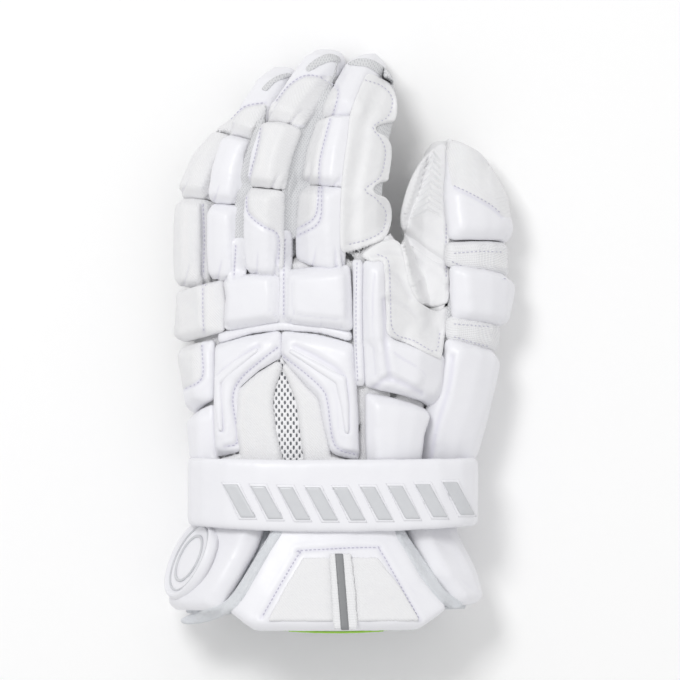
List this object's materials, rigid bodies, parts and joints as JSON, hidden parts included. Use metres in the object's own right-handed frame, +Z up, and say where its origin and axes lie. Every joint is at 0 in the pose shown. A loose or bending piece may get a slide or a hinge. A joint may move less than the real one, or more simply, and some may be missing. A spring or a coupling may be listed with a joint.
{
  "type": "lacrosse glove",
  "caption": "Padded left-hand field glove lying palm down: segmented roll pads on the fingers, vented hand back, thumb and wrist pads, banded strap and a flared cuff of loose flaps.",
  "frame": {"origin": "middle of the glove's footprint, on the surface it lies on", "axes": "+Z up out of the back of the hand, +Y to the fingertips, +X to the thumb side"},
  "size_m": [0.1864, 0.314, 0.0938],
  "materials": {
    "leather": "smooth white coated cloth over foam, soft sheen",
    "twill": "white coated cloth with a fine diagonal grain",
    "suede": "off-white microfibre suede",
    "knit": "light grey stretch knit",
    "webbing": "white ribbed webbing",
    "trim": "silver-grey moulded trim",
    "fleece": "pale blue-grey brushed lining"
  },
  "bodies": {
    "root": {"palm": "suede", "hand_back": "twill", "thumb_back": "knit", "thumb_inner": "suede", "index_sleeve": "knit", "middle_sleeve": "knit", "ring_sleeve": "knit", "little_sleeve": "knit", "wrist_strap": "leather", "strap_trim": "trim", "index_side_wrap": "suede", "knuckle_pad_outer": "twill", "knuckle_pad_middle": "leather", "knuckle_pad_index": "leather", "flex_band": "knit", "outer_pad_upper": "twill", "outer_pad_lower": "leather", "back_pad_left": "leather", "back_pad_right": "leather", "back_inset_left": "twill", "back_inset_right": "twill", "mesh_vent": "knit", "binding_strip": "webbing", "radial_pad_upper": "leather", "radial_pad_lower": "leather", "web_patch": "suede", "back_ridge_left": "leather", "back_ridge_right": "leather", "thumb_cap": "twill", "thumb_pad_mid": "leather", "thumb_pad_base": "leather", "thumb_strap_upper": "webbing", "thumb_strap_lower": "webbing", "cuff_lining_left": "fleece", "cuff_lining_centre": "fleece", "cuff_lining_right": "fleece", "cuff_flap_left": "leather", "cuff_flap_centre": "leather", "cuff_flap_right": "leather", "cuff_inset": "twill", "cuff_webbing": "webbing", "cuff_badge": "trim", "index_pad_base": "leather", "index_pad_mid": "leather", "index_pad_tip": "leather", "middle_pad_base": "leather", "middle_pad_mid": "leather", "middle_pad_tip": "leather", "ring_pad_base": "leather", "ring_pad_mid": "leather", "ring_pad_tip": "leather", "little_pad_base": "leather", "little_pad_mid": "leather", "little_pad_tip": "leather"}
  },
  "joints": []
}
